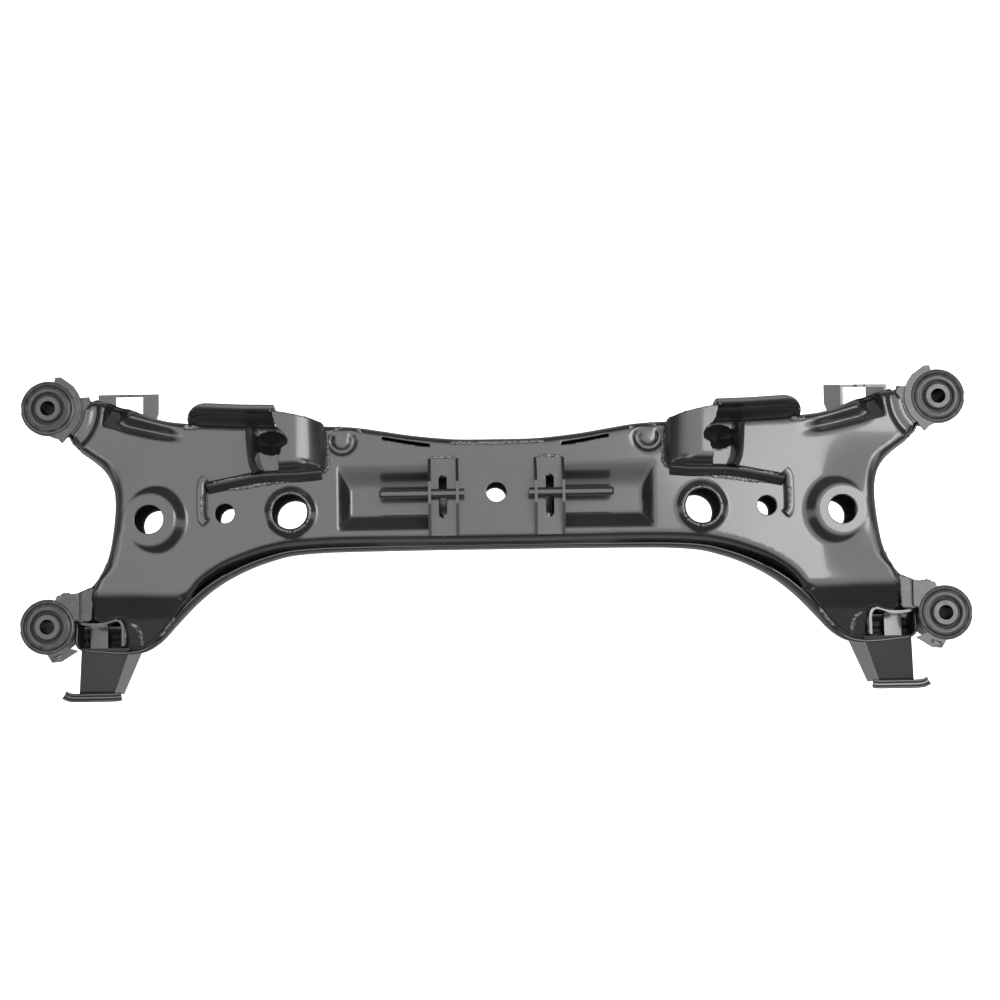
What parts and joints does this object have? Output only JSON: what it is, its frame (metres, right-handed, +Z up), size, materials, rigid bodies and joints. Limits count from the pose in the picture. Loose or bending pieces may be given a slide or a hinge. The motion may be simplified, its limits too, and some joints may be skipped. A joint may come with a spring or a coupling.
{
  "type": "rear suspension subframe",
  "caption": "Pressed-steel rear suspension subframe: a black box beam with a rubber bush at each corner, tower brackets, link brackets, front legs and exhaust hangers.",
  "frame": {"origin": "on the floor, under the middle of the whole outline (left-right and front-rear)", "axes": "+X across to the image's right, +Y to the image's upper edge (rear bushes), +Z up, out of the pictured face"},
  "size_m": [1.0338, 0.353, 0.17],
  "materials": {
    "black_paint": "glossy black paint over pressed steel",
    "rod_paint": "glossy black paint over a round steel rod",
    "bush_sleeve": "painted steel sleeve",
    "bush_core": "painted steel core",
    "bush_rubber": "matt black rubber"
  },
  "bodies": {
    "root": {"upper_panel": "black_paint", "lower_panel": "black_paint", "bush_plate_rear_left": "black_paint", "bush_plate_rear_right": "black_paint", "bush_plate_front_left": "black_paint", "bush_plate_front_right": "black_paint", "bush_sleeve_rear_left": "bush_sleeve", "bush_sleeve_rear_right": "bush_sleeve", "bush_sleeve_front_left": "bush_sleeve", "bush_sleeve_front_right": "bush_sleeve", "bush_rubber_rear_left": "bush_rubber", "bush_rubber_rear_right": "bush_rubber", "bush_rubber_front_left": "bush_rubber", "bush_rubber_front_right": "bush_rubber", "bush_core_rear_left": "bush_core", "bush_core_rear_right": "bush_core", "bush_core_front_left": "bush_core", "bush_core_front_right": "bush_core", "tower_bracket_left": "black_paint", "tower_bracket_right": "black_paint", "tower_back_left": "black_paint", "tower_back_right": "black_paint", "link_bracket_left": "black_paint", "link_bracket_right": "black_paint", "arm_pocket_left": "black_paint", "arm_pocket_right": "black_paint", "foot_bracket_left": "black_paint", "foot_bracket_right": "black_paint", "hanger_bracket_left": "black_paint", "hanger_bracket_right": "black_paint", "hanger_rod_left": "rod_paint", "hanger_rod_right": "rod_paint"}
  },
  "joints": []
}
